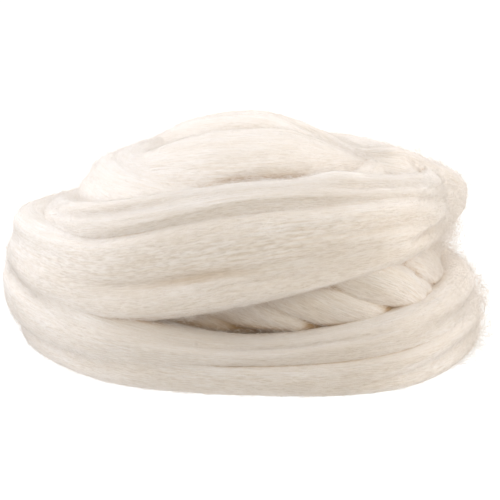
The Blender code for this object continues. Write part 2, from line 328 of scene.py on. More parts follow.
BOWED_SHARE = 0.5  # fibres held at both ends and bowed between them, and the rest has a loose end
BEND_MIDDLE = 0.1  # keeps a bent fibre's middle near its place
THICKNESS_RANGE = (0.75, 1.25)  # thinnest and thickest fibre of a layer, against its mean
TUBE_SIDES = 3
DRAWS_PER_FIBRE = 6  # places tried for each fibre, since many lie inside the coil
OPEN_SHARE = 0.45  # share of those places kept where the wool lies open, against all in a crease
FIBRE_SHELTER = 0.5  # shelter of a fibre, which stands off the wool, against that of the wool, so it has less painted crease shade
PAST_EDGE = 20.0  # degrees past its edges that the band's outer face carries fibres
ROUND_RADIUS = 15.0  # millimetres, the band's mean radius, which turns sideways lengths to angles
SHOWN_DEPTH = 2.0  # millimetres inside the solid where a fibre still shows
RING_MARGIN = 0.001  # keeps the last place between two rings

# Maps and values on the meshes, which the materials read
GRAIN_MAP = "grain"
SHELTER = "shelter"
TONE = "tone"
# Weight of the painted shade between fibres at each point, lower where the wool faces up
GAP_SHADE_SHARE = "gap_shade_share"
GAP_SHADE_LOSS = 0.9  # how much weaker the painted shade between fibres is where the wool faces straight up, where the light falls straight on

# Shelter is how far each place is closed in by the wool round it, from 0 to 1, found by rays sent
# out over its outer side. Their length and how far off the wool they start are in millimetres.
# The materials paint shade, and a glow, into the hollows by it.
RAYS = 20
RAY_LENGTH = 22.0
RAY_START = 0.8
SHELTER_RINGS = 4  # rings and places between the points that are looked at
SHELTER_PLACES = 3
BURIED_DEPTH = 4.0  # millimetres inside the solid, where nothing shows
DENT_SHELTER = 0.08  # what each millimetre of a dent adds to the shelter, and so to the painted crease shade
FOLD_SHELTER = 0.052  # the same for folds
TWIST_SHELTER = 0.22  # the same for the creases between twisted strands
SOFTENINGS = 4  # times that the shelter is evened out

# Fibres felted together fill the creases between the turns: how far they stand off the band in
# millimetres where it is nearly closed in, and the shelter where they start.
FELT = 0.9
FELT_FROM = 0.35


def route_sections():
    """Every section of the sliver in order, one row each, in millimetres and degrees."""
    rows = []
    for turn in TURNS.values():
        for place, bearing in enumerate(BEARINGS.values()):
            angle = math.radians(bearing)
            x = turn.radius[place] * math.sin(angle)
            y = -turn.radius[place] * math.cos(angle)
            sizes = (turn.width[place], turn.thickness[place], turn.lean[place])
            rows.append((x, y, turn.height[place]) + sizes)
    rows.extend(CROWN)
    return np.array(rows, dtype=float)


def station(turn, at):
    """Number of the section at a bearing of a turn, or at a section of the crown."""
    names = list(TURNS)
    if turn not in names:
        return len(names) * len(BEARINGS) + at
    first, second = list(BEARINGS.values())[:2]
    return names.index(turn) * len(BEARINGS) + (at - first) / (second - first)


def smooth_rows(rows):
    """Catmull-Rom curve through every row, with the section number as a last column."""
    padded = np.vstack([2 * rows[0] - rows[1], rows, 2 * rows[-1] - rows[-2]])
    t = np.linspace(0, 1, SPAN_SAMPLES, endpoint=False)[:, None]
    spans = []
    for i in range(1, len(padded) - 2):
        before, start, end, after = padded[i - 1 : i + 3]
        bend = 2 * before - 5 * start + 4 * end - after
        twist = 3 * start - before - 3 * end + after
        span = start + 0.5 * ((end - before) * t + bend * t**2 + twist * t**3)
        spans.append(np.hstack([span, i - 1 + t]))
    last = np.append(rows[-1], len(rows) - 1)
    return np.vstack(spans + [last])


def even_rows(rows, step):
    """The same curve at even steps, and the length along it."""
    pieces = np.linalg.norm(np.diff(rows[:, :3], axis=0), axis=1)
    along = np.concatenate([[0], np.cumsum(pieces)])
    count = int(round(along[-1] / step)) + 1
    wanted = np.linspace(0, along[-1], count)
    columns = [np.interp(wanted, along, column) for column in rows.T]
    return np.stack(columns, axis=1), wanted


def section_axes(points, lean):
    """Directions out of the sliver's flat face and up across it."""
    ahead = np.gradient(points, axis=0)
    ahead /= np.linalg.norm(ahead, axis=1)[:, None]
    outward = np.cross(ahead, (0.0, 0.0, 1.0))
    outward /= np.linalg.norm(outward, axis=1)[:, None]
    upward = np.cross(outward, ahead)
    tilt = np.radians(lean)[:, None]
    face = np.cos(tilt) * outward + np.sin(tilt) * upward
    across = np.cos(tilt) * upward - np.sin(tilt) * outward
    return face, across


def fade(stations, start, end):
    """1 between two sections, falling softly to 0 at both."""
    share = np.clip((stations - start) / (end - start), 0, 1)
    return np.sin(np.pi * share) ** FADE_POWER


def fold_relief(stations, widths, around):
    """Depth of every fold over the sliver, section by section and point by point."""
    relief = np.zeros((len(stations), len(around)))
    across = np.cos(around)[None, :]
    outer_face = (np.sin(around) > 0)[None, :]
    for fold in FOLDS:
        start = station(fold.turn, fold.start)
        end = station(fold.turn, fold.end)
        place = np.interp(stations, (start, end), (fold.place_start, fold.place_end))
        away = (across - place[:, None]) * widths[:, None] / 2
        trough = np.exp(-((away / fold.spread) ** 2)) * outer_face
        relief -= fold.depth * fade(stations, start, end)[:, None] * trough
    return relief


def dent_relief(stations, along, around):
    """Depth of every dent over the sliver."""
    relief = np.zeros((len(stations), len(around)))
    for dent in DENTS:
        centre = np.interp(station(dent.turn, dent.at), stations, along)
        ahead = (along - centre)[:, None]
        beside = (np.mod(around - math.radians(dent.angle) + np.pi, 2 * np.pi) - np.pi)[None, :]
        beside = beside * ROUND_RADIUS
        cos, sin = math.cos(math.radians(dent.slant)), math.sin(math.radians(dent.slant))
        lengthways = (ahead * cos + beside * sin) / dent.length
        sideways = (beside * cos - ahead * sin) / dent.width
        relief -= dent.depth * np.exp(-(lengthways**2) - sideways**2)
    return relief


def turned_angle(stations, along, twist):
    """How far a twist has turned the band about itself at each ring, in radians."""
    start, end = (station(twist.turn, at) for at in (twist.start, twist.end))
    begun, ended = np.interp((start, end), stations, along)
    return 2 * np.pi * (np.clip(along, begun, ended) - begun) / twist.pitch


def twist_relief(stations, along, around):
    """Strands of the sliver winding round each other, with a crease between each two."""
    relief = np.zeros((len(stations), len(around)))
    for twist in TWISTS:
        start = station(twist.turn, twist.start)
        end = station(twist.turn, twist.end)
        turned = turned_angle(stations, along, twist) + math.radians(twist.phase)
        away = (around[None, :] - turned[:, None]) * twist.strands / 2
        lobes = np.abs(np.sin(away)) ** CREASE_POWER
        depth = 2 * twist.depth * fade(stations, start, end)
        relief += depth[:, None] * (lobes - CREASE_SHARE)
    return relief


def soft_weights(t):
    """Weights of the four lattice points round a place, which give a smooth field."""
    return (
        (1 - t) ** 3 / 6,
        (3 * t**3 - 6 * t**2 + 4) / 6,
        (-3 * t**3 + 3 * t**2 + 3 * t + 1) / 6,
        t**3 / 6,
    )


def ripple(rng, along, around, cell, cells):
    """Soft random heights of about unit size, in cells of that length and that many around."""
    lattice = rng.normal(size=(int(along.max() / cell) + SPARE_CELLS, cells))
    row = along / cell
    column = np.mod(around, 2 * np.pi) / (2 * np.pi) * cells
    first_row = np.floor(row).astype(int)
    first_column = np.floor(column).astype(int)
    total = np.zeros(np.broadcast(row, column).shape)
    for a, ahead in enumerate(soft_weights(row - first_row)):
        for b, beside in enumerate(soft_weights(column - first_column)):
            total += ahead * beside * lattice[first_row + a, (first_column + b - 1) % cells]
    return total / RIPPLE_SPREAD


def streak_relief(rng, along, around):
    """Heights of the fibre streaks over the band, in millimetres, and the tone of its locks."""
    along = along[:, None]
    wander = ripple(rng, along, around, WANDER_ALONG, WANDER_AROUND)
    drifted = around + math.radians(WANDER) * wander
    relief = np.zeros(drifted.shape)
    for streak in STREAKS:
        field = ripple(rng, along, drifted, streak.along, streak.around)
        hollows = np.abs(ripple(rng, along, drifted, streak.along, streak.around)) - MEAN_HEIGHT
        relief += streak.depth * ((1 - streak.sharp) * field + streak.sharp * hollows)
    tone = np.full(drifted.shape, MIDDLE_TONE)
    for lock in LOCKS:
        tone += lock.share * ripple(rng, along, drifted, lock.along, lock.around)
    return relief, np.clip(tone, 0, 1)


def angles_around(outer, inner):
    """Places round the section, closer together on the outer face."""
    front = np.linspace(0, np.pi, outer, endpoint=False)
    back = np.linspace(np.pi, 2 * np.pi, inner, endpoint=False)
    return np.concatenate([front, back])


def ray_directions():
    """Directions over the outer side of a place, more of them near straight out."""
    share = (np.arange(RAYS) + 0.5) / RAYS
    turn = np.arange(RAYS) * math.pi * (3 - math.sqrt(5))
    flat = np.sqrt(share)
    return np.stack([flat * np.cos(turn), flat * np.sin(turn), np.sqrt(1 - share)], -1)


def wool_shelter(points, normals):
    """Share of the rays from each place of the band that meet wool close by."""
    rings = np.arange(0, len(points), SHELTER_RINGS)
    places = np.arange(0, points.shape[1], SHELTER_PLACES)
    coarse = points[rings][:, places]
    count, size = coarse.shape[:2]
    faces = tube_faces(count, size)
    tree = BVHTree.FromPolygons(coarse.reshape(-1, 3).tolist(), faces.tolist())
    out = normals[rings][:, places].reshape(-1, 3)
    ahead = np.gradient(coarse, axis=0).reshape(-1, 3)
    ahead /= np.linalg.norm(ahead, axis=1)[:, None]
    beside = np.cross(out, ahead)
    start = coarse.reshape(-1, 3) + out * RAY_START
    met = np.full(len(start), 1.0)
    shown = np.flatnonzero(shown_depth(start * MM) > -BURIED_DEPTH * MM)
    directions = ray_directions()
    for k in shown:
        axes = np.stack([ahead[k], beside[k], out[k]])
        origin = Vector(start[k])
        hits = [tree.ray_cast(origin, Vector(ray), RAY_LENGTH)[0] for ray in directions @ axes]
        met[k] = sum(hit is not None for hit in hits) / RAYS
    return spread_values(met.reshape(count, size), rings, places, points.shape[:2])


def spread_values(values, rings, places, shape):
    """Values at some rings and places of the band, filled in for all of them."""
    size = shape[1]
    wrapped = np.append(places, size)
    closed = np.hstack([values, values[:, :1]])
    per_ring = np.array([np.interp(np.arange(size), wrapped, row) for row in closed])
    return np.array([np.interp(np.arange(shape[0]), rings, column) for column in per_ring.T]).T


def tube_faces(count, size):
    """Four corners of each face of a tube of rings, which face outwards."""
    ring = np.arange(count - 1)[:, None] * size
    here = np.arange(size)[None, :]
    beside = (here + 1) % size
    corners = (ring + here, ring + beside, ring + size + beside, ring + size + here)
    return np.stack(corners, -1).reshape(-1, 4)


def surface_normals(points):
    """Directions out of the band at each point of its grid."""
    ahead = np.gradient(points, axis=0)
    beside = np.roll(points, -1, axis=1) - np.roll(points, 1, axis=1)
    normals = np.cross(beside, ahead)
    return normals / np.linalg.norm(normals, axis=2)[..., None]


def softened(values):
    """Values of the band with each evened out with the ones round it."""
    for _ in range(SOFTENINGS):
        values = (np.roll(values, 1, axis=1) + 2 * values + np.roll(values, -1, axis=1)) / 4
        values[1:-1] = (values[:-2] + 2 * values[1:-1] + values[2:]) / 4
    return values


# The wound band: for each ring and place its point, normal, shelter and tone, for each ring how far
# it is turned, its section number and its length along the route, and the angle of each place
Band = namedtuple("Band", "points normals shelter tone turned stations along around")


@lru_cache(maxsize=1)
def wind_band(step, outer_points, inner_points, streaks, seed):
    """The whole band as a grid of points: a ring for each step along the route."""
    rng = np.random.default_rng(seed)
    rows, along = even_rows(smooth_rows(route_sections()), step / MM)
    route, widths, thicknesses = rows[:, :3], rows[:, 3], rows[:, 4]
    face, across = section_axes(route, rows[:, 5])
    stations = rows[:, 6]
    around = angles_around(outer_points, inner_points)
    cos, sin = np.cos(around), np.sin(around)
    wide = np.sign(cos) * np.abs(cos) ** FULLNESS_ACROSS
    flat = np.sign(sin) * np.abs(sin) ** FULLNESS_THROUGH
    turned = sum(turned_angle(stations, along, twist) for twist in TWISTS)
    folded = fold_relief(stations, widths, around)
    dented = dent_relief(stations, along, around)
    relief = folded + dented
    # Dents, folds and the creases of twists deepen the painted crease shade.
    hollow = np.maximum(-dented, 0) * DENT_SHELTER - folded * FOLD_SHELTER
    twisted = twist_relief(stations, along, around)
    hollow += np.maximum(-twisted, 0) * TWIST_SHELTER
    relief += twisted
    fine, tone = streak_relief(rng, along, around - turned[:, None])
    relief += fine * streaks
    up = widths[:, None] / 2 * wide + relief * cos
    out = thicknesses[:, None] / 2 * flat + relief * sin
    points = route[:, None] + across[:, None] * up[..., None] + face[:, None] * out[..., None]
    normals = surface_normals(points)
    closed = wool_shelter(points, normals)
    felted = softened(np.where(closed < 1, np.clip(closed - FELT_FROM, 0, 1), 0))
    # Shelter is the mask of the painted crease shade and of the painted glow.
    shelter = np.clip(softened(closed) + hollow, 0, 1)
    points += normals * FELT * felted[..., None] / (1 - FELT_FROM)
    normals = surface_normals(points)
    points[..., 2] = np.maximum(points[..., 2], FLOOR_GAP)
    return Band(points * MM, normals, shelter, tone, turned, stations, along, around)


def new_mesh(name, points, faces, smooth=True):
    """A mesh from arrays of points and of faces with the same number of corners each."""
    mesh = bpy.data.meshes.new(name)
    count, corners = faces.shape
    mesh.vertices.add(len(points))
    mesh.vertices.foreach_set("co", points.astype(np.float32).ravel())
    mesh.loops.add(count * corners)
    mesh.loops.foreach_set("vertex_index", faces.astype(np.int32).ravel())
    mesh.polygons.add(count)
    mesh.polygons.foreach_set("loop_start", np.arange(count, dtype=np.int32) * corners)
    mesh.polygons.foreach_set("use_smooth", np.full(count, smooth))
    mesh.update(calc_edges=True)
    return mesh


def new_piece(name, mesh, material):
    """An object of the roving that takes the place of its solid."""
    piece = bpy.data.objects.new(name, mesh)
    bpy.context.scene.collection.objects.link(piece)
    mesh.materials.append(material)
    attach(piece, BODY)
    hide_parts(NODE)
    return piece


def point_values(mesh, name, values):
    """Keeps a value at each point of the mesh, for its material."""
    kept = mesh.attributes.new(name, "FLOAT", "POINT")
    kept.data.foreach_set("value", values.astype(np.float32).ravel())


def grain_map(mesh, ahead, across):
    """Keeps how far along and across the fibres each corner of the faces lies, in metres."""
    grain = np.stack(np.broadcast_arrays(ahead, across), -1)
    uv = mesh.uv_layers.new(name=GRAIN_MAP)
    uv.data.foreach_set("uv", grain.astype(np.float32).ravel())


def band_run(band, run, material):
    """One run of the band as a tube, with maps of its fibre direction and its hollows."""
    names = list(TURNS) + ["crown"]
    per_turn = len(BEARINGS)
    first = names.index(run.first) * per_turn
    last = (names.index(run.last) + 1) * per_turn
    if run.last == "crown":
        last = band.stations[-1]
    start = int(np.searchsorted(band.stations, first))
    end = min(int(np.searchsorted(band.stations, last)), len(band.stations) - 1)
    kept = np.append(np.arange(start, end, run.thin), end)
    across_kept = np.arange(0, band.points.shape[1], run.thin)
    rings = band.points[kept][:, across_kept]
    mesh = new_mesh(run.name, rings.reshape(-1, 3), tube_faces(*rings.shape[:2]))
    spread = np.linalg.norm(np.diff(rings, axis=1, append=rings[:, :1]), axis=2)
    places = np.concatenate([[0], np.cumsum(spread.mean(axis=0))])
    across = np.stack([places[:-1], places[1:], places[1:], places[:-1]], -1)
    shift = band.turned[kept] * ROUND_RADIUS * MM
    shift = np.stack([shift[:-1], shift[:-1], shift[1:], shift[1:]], -1)
    lengths = band.along[kept] * MM
    ahead = np.stack([lengths[:-1], lengths[:-1], lengths[1:], lengths[1:]], -1)
    grain_map(mesh, ahead[:, None], across - shift[:, None])
    point_values(mesh, SHELTER, band.shelter[kept][:, across_kept])
    point_values(mesh, TONE, band.tone[kept][:, across_kept])
    normals = band.normals[kept][:, across_kept]
    # Painted shade between fibres, weaker on faces turned up to the light.
    point_values(mesh, GAP_SHADE_SHARE, 1 - GAP_SHADE_LOSS * np.clip(normals[..., 2], 0, 1))
    mesh.normals_split_custom_set_from_vertices(normals.reshape(-1, 3))
    return new_piece(run.name, mesh, material)


def core_piece(seed, material):
    """The loose wool inside the turns, which closes the hollows between them."""
    rng = np.random.default_rng([seed, CORE_AROUND])
    turn = np.linspace(0, 2 * np.pi, CORE_AROUND, endpoint=False)[None, :]
    rise = np.linspace(-CORE_TOP, CORE_TOP, CORE_UP)[:, None]
    parts = (np.cos(rise) * np.cos(turn), np.cos(rise) * np.sin(turn), np.sin(rise))
    shape = np.stack(np.broadcast_arrays(*parts), axis=-1)
    up = np.linspace(0, CORE_UP, CORE_UP)[:, None]
    waves = ripple(rng, up, turn, CORE_WAVE_ROWS, CORE_WAVES_AROUND) * CORE_WAVES
    points = shape * (np.array(CORE_HALF_SIZES) * CORE_SHARE + waves[..., None])
    points[..., 2] = np.maximum(points[..., 2] + CORE_HEIGHT, FLOOR_GAP)
    mesh = new_mesh("core", points.reshape(-1, 3) * MM, tube_faces(CORE_UP, CORE_AROUND))
    half_length, half_depth, _ = np.array(CORE_HALF_SIZES) * MM
    ring = np.arange(CORE_UP - 1)[:, None]
    place = np.arange(CORE_AROUND)[None, :]
    around = np.stack([place, place + 1, place + 1, place], -1)
    above = np.stack([ring, ring, ring + 1, ring + 1], -1)
    around = around * 2 * math.pi / CORE_AROUND * half_length
    grain_map(mesh, around, above * math.pi / CORE_UP * half_depth)
    count = CORE_UP * CORE_AROUND
    point_values(mesh, SHELTER, np.full(count, CORE_SHELTER))
    # The core's tone follows its waves: painted light on the crests and painted shade in the hollows.
    point_values(mesh, TONE, np.clip(MIDDLE_TONE + waves * CORE_WAVE_SHADING, 0, 1))
    point_values(mesh, GAP_SHADE_SHARE, np.full(count, 1 - GAP_SHADE_LOSS))
    return new_piece("core", mesh, material)


def shown_depth(points):
    """How far outside the solid each point lies, in metres, less than 0 where it is inside."""
    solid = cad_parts[NODE].data
    corners = [vertex.co for vertex in solid.vertices]
    faces = [tuple(polygon.vertices) for polygon in solid.polygons]
    tree = BVHTree.FromPolygons(corners, faces)
    depths = np.empty(len(points))
    for k, point in enumerate(points):
        near, normal, _, _ = tree.find_nearest(Vector(point))
        depths[k] = (Vector(point) - near).dot(normal)
    return depths


def on_band(band, ring, angle):
    """Points, normals, shelter and tone of the band between its rings and its points."""
    count, size = band.points.shape[:2]
    ring = np.clip(ring, 0, count - 1 - RING_MARGIN)
    angles = np.append(band.around, 2 * np.pi)
    place = np.interp(np.mod(angle, 2 * np.pi), angles, np.arange(size + 1))
    last_ring = np.floor(ring).astype(int)
    last_place = np.minimum(np.floor(place).astype(int), size - 1)
    next_place = (last_place + 1) % size
    ahead = (ring - last_ring)[..., None]
    beside = (place - last_place)[..., None]
    rows = (last_ring, last_ring + 1)
    values = []
    for grid in (band.points, band.normals, band.shelter[..., None], band.tone[..., None]):
        sides = [grid[row, last_place] * (1 - beside) + grid[row, next_place] * beside for row in rows]
        values.append(sides[0] * (1 - ahead) + sides[1] * ahead)
    points, normals, shelter, tone = values
    normals /= np.linalg.norm(normals, axis=-1)[..., None]
    return points, normals, shelter[..., 0], tone[..., 0]


def fibre_places(rng, band, layer):
    """Rings and angles where a layer's fibres lie, over the parts of the band that show."""
    rings = len(band.points)
    drawn = layer.count * DRAWS_PER_FIBRE
    ring = rng.uniform(0, rings - 1, drawn)
    if layer.spans:
        ends = [[station(turn, at) for at in (start, end)] for turn, start, end in layer.spans]
        low, high = np.interp(ends, band.stations, np.arange(rings)).T
        span = rng.integers(0, len(layer.spans), drawn)
        ring = rng.uniform(low[span], high[span])
    past = math.radians(PAST_EDGE)
    angle = rng.uniform(-past, math.pi + past, drawn)
    middle, _, closed, _ = on_band(band, ring, angle)
    kept = rng.uniform(size=drawn) < OPEN_SHARE + closed
    shown = np.flatnonzero(kept & (shown_depth(middle) > -SHOWN_DEPTH * MM))[: layer.count]
    if len(shown) < layer.count:
        raise RuntimeError("too few places for fibres show on the band")
    return ring[shown], angle[shown]


def fibre_paths(rng, band, layer):
    """Paths of a layer's fibres, with the normals, shelter and tone of the band under them."""
    rings = len(band.points)
    ring, angle = fibre_places(rng, band, layer)
    length = rng.uniform(layer.long_from, layer.long_to, layer.count)
    heading = np.radians(rng.normal(0, layer.stray, layer.count))
    bend = np.radians(rng.normal(0, layer.stray, layer.count))
    t = np.linspace(-0.5, 0.5, layer.points)[None, :]  # from one end of a fibre to the other
    step = band.along[1] - band.along[0]
    rings_on = ring[:, None] + t * (length * np.cos(heading))[:, None] / step
    beside = t * np.sin(heading)[:, None] + (t**2 - BEND_MIDDLE) * bend[:, None]
    turned = [np.interp(at, np.arange(rings), band.turned) for at in (rings_on, ring[:, None])]
    angles = angle[:, None] + beside * length[:, None] / ROUND_RADIUS + turned[0] - turned[1]
    points, normals, shelter, tone = on_band(band, rings_on, angles)
    end = rng.choice((-1.0, 1.0), layer.count)[:, None]
    free = np.clip(t * end + 0.5, 0, 1) ** 2
    bowed = 1 - 4 * t**2
    shape = np.where(rng.uniform(size=(layer.count, 1)) < BOWED_SHARE, bowed, free)
    root = rng.uniform(*layer.root, layer.count)[:, None]
    rise = rng.uniform(*layer.rise, layer.count)[:, None]
    wave = rng.normal(0, layer.curl, (layer.count, layer.points, 3))
    wave[:, 1:-1] = (wave[:, :-2] + wave[:, 1:-1] + wave[:, 2:]) / 3
    paths = points + normals * ((root + rise * shape) * MM)[..., None] + wave * MM
    paths[..., 2] = np.maximum(paths[..., 2], FLOOR_GAP * MM)
    own = rng.normal(0, FIBRE_TONE, layer.count)
    tone = np.clip(tone.mean(axis=1) + own, 0, 1)
    return paths, normals, FIBRE_SHELTER * shelter.mean(axis=1), tone


def fibre_tubes(rng, paths, normals, thick):
    """Three-sided tubes along the paths, closed to a point at both ends."""
    count, size = paths.shape[:2]
    ahead = np.gradient(paths, axis=1)
    ahead /= np.linalg.norm(ahead, axis=2)[..., None]
    beside = np.cross(ahead, normals)
    beside /= np.linalg.norm(beside, axis=2)[..., None]
    above = np.cross(ahead, beside)
    radius = thick * MM / 2 * rng.uniform(*THICKNESS_RANGE, (count, 1))
    inner = slice(1, size - 1)
    sides = []
    for k in range(TUBE_SIDES):
        turn = math.radians(90 + 360 / TUBE_SIDES * k)
        side = math.cos(turn) * beside[:, inner] + math.sin(turn) * above[:, inner]
        sides.append(paths[:, inner] + side * radius[..., None])
    body = np.stack(sides, axis=2).reshape(count, -1, 3)
    points = np.concatenate([paths[:, :1], body, paths[:, -1:]], axis=1)
    last = TUBE_SIDES * (size - 2) + 1
    faces = []
    for k in range(TUBE_SIDES):
        next_k = (k + 1) % TUBE_SIDES
        faces.append((0, 1 + next_k, 1 + k))
        faces.append((last, last - TUBE_SIDES + k, last - TUBE_SIDES + next_k))
        for ring in range(size - 3):
            low = 1 + TUBE_SIDES * ring
            high = low + TUBE_SIDES
            faces.append((low + k, low + next_k, high + k))
            faces.append((low + next_k, high + next_k, high + k))
    faces = np.array(faces)
    offsets = np.arange(count) * (last + 1)
    return points.reshape(-1, 3), (offsets[:, None, None] + faces).reshape(-1, 3), last + 1


def fibre_piece(band, seed, layer, material):
    """A layer of fibres as one joined mesh, each fibre with a tone of its own."""
    rng = np.random.default_rng([seed, LAYERS.index(layer)])
    paths, normals, shelter, tone = fibre_paths(rng, band, layer)
    points, faces, per_fibre = fibre_tubes(rng, paths, normals, layer.thick)
    mesh = new_mesh(layer.name, points, faces)
    point_values(mesh, TONE, np.repeat(tone, per_fibre))
    point_values(mesh, SHELTER, np.repeat(shelter, per_fibre))
    piece = new_piece(layer.name, mesh, material)
    # Real fibres let light through, so these shade nothing.
    piece.visible_shadow = False
    piece.visible_diffuse = False
    return piece


# The two materials, one for the band and its core and one for every fibre that stands off them
BAND_WOOL = "combed_wool"
FIBRE_WOOL = "wool_fibre"

DARKEST_SHADE_SHELTER = (0.62, 0.95)  # shelter between which the painted crease shade turns to its darkest
GLOW_SHELTER = (0.45, 1.00)  # shelter where the painted glow in the hollows starts, and where it is brightest

# Noise along the fibres: cells in each metre along and around the band, and how much they bend
Grain = namedtuple("Grain", "along around crimp")

STREAK_GRAIN = Grain(60.0, 1100.0, 0.3)
FUZZ_GRAIN = Grain(240.0, 1600.0, 0.4)
TUFT_GRAIN = Grain(180.0, 1000.0, 0.6)
GRAIN_DETAIL = 3.0
STREAK_RANGE = (0.25, 0.65)  # noise that is all shade, and all cream
FUZZ_RANGE = (0.28, 0.65)  # noise that is all gap, and all fibre
TUFT_BUMP = (0.00025, 0.5)  # distance in metres, and strength
FUZZ_BUMP = (0.00060, 0.9)

FLOOR_ROUGHNESS = 0.9
FLOOR_SHINE = 0.1
GLOW_COLOUR = (1.0, 1.0, 1.0)
NEAREST = 0.05  # metres from the camera to the nearest thing it sees

# Heights of direction between which the light changes, from the table's to the sides' and from
# the sides' to the ceiling's
TABLE_TO_SIDES = (-0.80, -0.35)
SIDES_TO_TOP = (0.00, 0.60)

# Soft square lights: place and width in metres, power in watts, colour
Light = namedtuple("Light", "name x y z size power colour")

LIGHTS = [
    Light("above", -0.15, 0.15, 1.25, 1.4, 15.0, (0.965, 0.965, 1.0)),
    Light("left", -1.00, -0.15, 0.18, 0.9, 8.3, (0.90, 0.93, 1.0)),
    Light("right", 1.00, -0.15, 0.18, 0.9, 8.2, (1.0, 0.965, 0.935)),
    Light("behind", 0.00, 1.10, 0.30, 1.2, 11.0, (0.95, 0.98, 1.0)),
    Light("front", 0.00, -1.20, 0.90, 1.2, 5.5, (1.0, 0.91, 0.70)),
]


def shader_tree(material):
    """The material's node tree and its main shader."""
    material.use_nodes = True
    tree = material.node_tree
    return tree, tree.nodes["Principled BSDF"]


def streak_noise(tree, grain):
    """Noise drawn out along the fibres, and bent into waves by the share of a cell in crimp."""
    place = tree.nodes.new("ShaderNodeUVMap")
    place.uv_map = GRAIN_MAP
    stretch = tree.nodes.new("ShaderNodeVectorMath")
    stretch.operation = "MULTIPLY"
    stretch.inputs[1].default_value = (grain.along, grain.around, 1.0)
    noise = tree.nodes.new("ShaderNodeTexNoise")
    noise.noise_dimensions = "2D"
    noise.inputs["Scale"].default_value = 1.0
    noise.inputs["Detail"].default_value = GRAIN_DETAIL
    noise.inputs["Distortion"].default_value = grain.crimp
    tree.links.new(place.outputs[0], stretch.inputs[0])
    tree.links.new(stretch.outputs[0], noise.inputs["Vector"])
    return noise.outputs["Fac"]


def ranged(tree, value, low, high):
    """The value stretched from low and high to 0 and 1."""
    spread = tree.nodes.new("ShaderNodeMapRange")
    spread.interpolation_type = "SMOOTHSTEP"
    spread.inputs["From Min"].default_value = low
    spread.inputs["From Max"].default_value = high
    tree.links.new(value, spread.inputs["Value"])
    return spread.outputs["Result"]


def blended(tree, share, first, second, kind="MIX"):
    """One colour turning into another or darkened by it. Each is a colour or a node's output."""
    mix = tree.nodes.new("ShaderNodeMix")
    mix.data_type = "RGBA"
    mix.blend_type = kind
    for socket, colour in ((mix.inputs["A"], first), (mix.inputs["B"], second)):
        if isinstance(colour, bpy.types.NodeSocket):
            tree.links.new(colour, socket)
        else:
            socket.default_value = (*colour, 1.0)
    tree.links.new(share, mix.inputs["Factor"])
    return mix.outputs["Result"]


def mesh_value(tree, name):
    """A value that the mesh holds at each point."""
    node = tree.nodes.new("ShaderNodeAttribute")
    node.attribute_name = name
    return node.outputs["Fac"]


def raised(tree, height, distance, strength, under=None):
    """Fine relief in the shading, over any relief under it."""
    bump = tree.nodes.new("ShaderNodeBump")
    bump.inputs["Strength"].default_value = strength
    bump.inputs["Distance"].default_value = distance
    tree.links.new(height, bump.inputs["Height"])
    if under is not None:
        tree.links.new(under, bump.inputs["Normal"])
    return bump.outputs["Normal"]


def soft_shader(shader, wool):
    """Sets what all the wool shares: rough and hardly shiny, with a fuzz of light at its edges."""
    shader.inputs["Roughness"].default_value = wool.roughness
    shader.inputs["Specular IOR Level"].default_value = wool.shine
    shader.inputs["Sheen Weight"].default_value = wool.sheen
    shader.inputs["Sheen Roughness"].default_value = wool.sheen_roughness
    shader.inputs["Sheen Tint"].default_value = (*wool.cream, 1.0)


def painted_crease_shade(tree, wool, colour):
    """The colour with painted shade: warmer where the wool closes in, and brown at the very bottom."""
    shelter = mesh_value(tree, SHELTER)
    closed = ranged(tree, shelter, wool.crease_from, wool.crease_to)
    deepest = ranged(tree, shelter, *DARKEST_SHADE_SHELTER)
    return blended(tree, deepest, blended(tree, closed, colour, wool.crease), wool.bottom)


def painted_hollow_glow(tree, shader, wool):
    """A faint warm painted glow in the hollows, an emission in place of light through the wool around
    them.
    """
    deep = ranged(tree, mesh_value(tree, SHELTER), *GLOW_SHELTER)
    glow = blended(tree, deep, (0.0, 0.0, 0.0), wool.through)
    tree.links.new(glow, shader.inputs["Emission Color"])
    shader.inputs["Emission Strength"].default_value = 1.0


def combed_wool(name, wool):
    """Combed wool: cream in long streaks, with fine raised fibres, painted shade between them, painted
    warm shade in the hollows and a faint painted glow in the deepest.
    """
    material = bpy.data.materials.new(name)
    tree, shader = shader_tree(material)
    streaks = ranged(tree, streak_noise(tree, STREAK_GRAIN), *STREAK_RANGE)
    fuzz_noise = streak_noise(tree, FUZZ_GRAIN)
    fuzz = ranged(tree, fuzz_noise, *FUZZ_RANGE)
    colour = blended(tree, mesh_value(tree, TONE), wool.shade, wool.cream)
    colour = blended(tree, streaks, wool.shade, colour)
    # Painted shade: warm in the creases and brown at their bottom.
    colour = painted_crease_shade(tree, wool, colour)
    # Painted shade between fibres, weaker where the wool faces up.
    gap_shade = blended(tree, mesh_value(tree, GAP_SHADE_SHARE), colour, wool.gap_shade, "MULTIPLY")
    tree.links.new(blended(tree, fuzz, gap_shade, colour), shader.inputs["Base Color"])
    tufts = raised(tree, streak_noise(tree, TUFT_GRAIN), *TUFT_BUMP)
    relief = raised(tree, fuzz_noise, *FUZZ_BUMP, under=tufts)
    tree.links.new(relief, shader.inputs["Normal"])
    # Painted glow: an emission in the deepest hollows.
    painted_hollow_glow(tree, shader, wool)
    soft_shader(shader, wool)
    return material


def single_fibres(name, wool):
    """Single fibres, each a little lighter or darker than the next, with the painted crease shade of
    the wool under them.
    """
    material = bpy.data.materials.new(name)
    tree, shader = shader_tree(material)
    colour = blended(tree, mesh_value(tree, TONE), wool.shade, wool.cream)
    # The same painted crease shade as the wool under the fibre.
    colour = painted_crease_shade(tree, wool, colour)
    tree.links.new(colour, shader.inputs["Base Color"])
    soft_shader(shader, wool)
    return material


